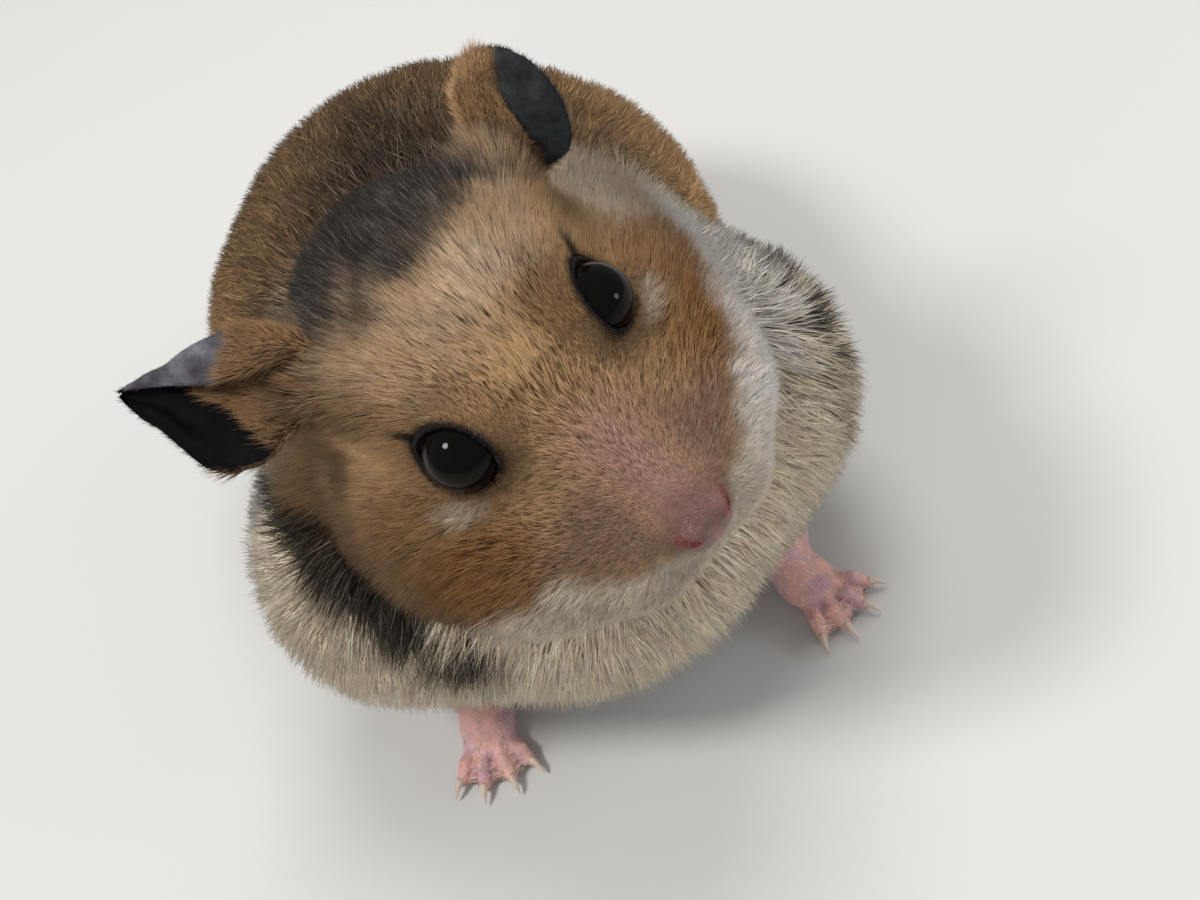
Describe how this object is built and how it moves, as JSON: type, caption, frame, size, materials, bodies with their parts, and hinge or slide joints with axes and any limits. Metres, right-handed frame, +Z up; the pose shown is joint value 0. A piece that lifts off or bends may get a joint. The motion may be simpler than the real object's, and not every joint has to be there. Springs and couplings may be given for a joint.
{
  "type": "syrian hamster",
  "caption": "Life-size still model of a Syrian hamster sitting low on its haunches and forefeet, head up and turned to its left, with golden coat, black eyes, dark ears and pink feet",
  "frame": {"origin": "on the floor, under the middle of the outline's box", "axes": "+Z is up and the floor is z = 0. The animal faces -Y, so +Y is towards its rump, and its left side is +X."},
  "size_m": [0.0648, 0.1026, 0.0698],
  "materials": {
    "coat": "dense soft fur, golden brown above, charcoal on the crown and cheek stripes",
    "pale_coat": "dense soft fur, cream to white",
    "bare_skin": "bare pink skin with fine creases",
    "ear_skin": "thin dark velvety skin",
    "eye": "wet, glossy black"
  },
  "bodies": {
    "root": {"head": "coat", "neck": "coat", "trunk": "coat", "foreleg_left": "pale_coat", "foreleg_right": "pale_coat", "hindleg_left": "coat", "hindleg_right": "coat", "forefoot_left": "bare_skin", "forefoot_right": "bare_skin", "hindfoot_left": "bare_skin", "hindfoot_right": "bare_skin", "tail": "bare_skin", "ear_left": "ear_skin", "ear_right": "ear_skin", "eye_left": "eye", "eye_right": "eye"}
  },
  "joints": []
}
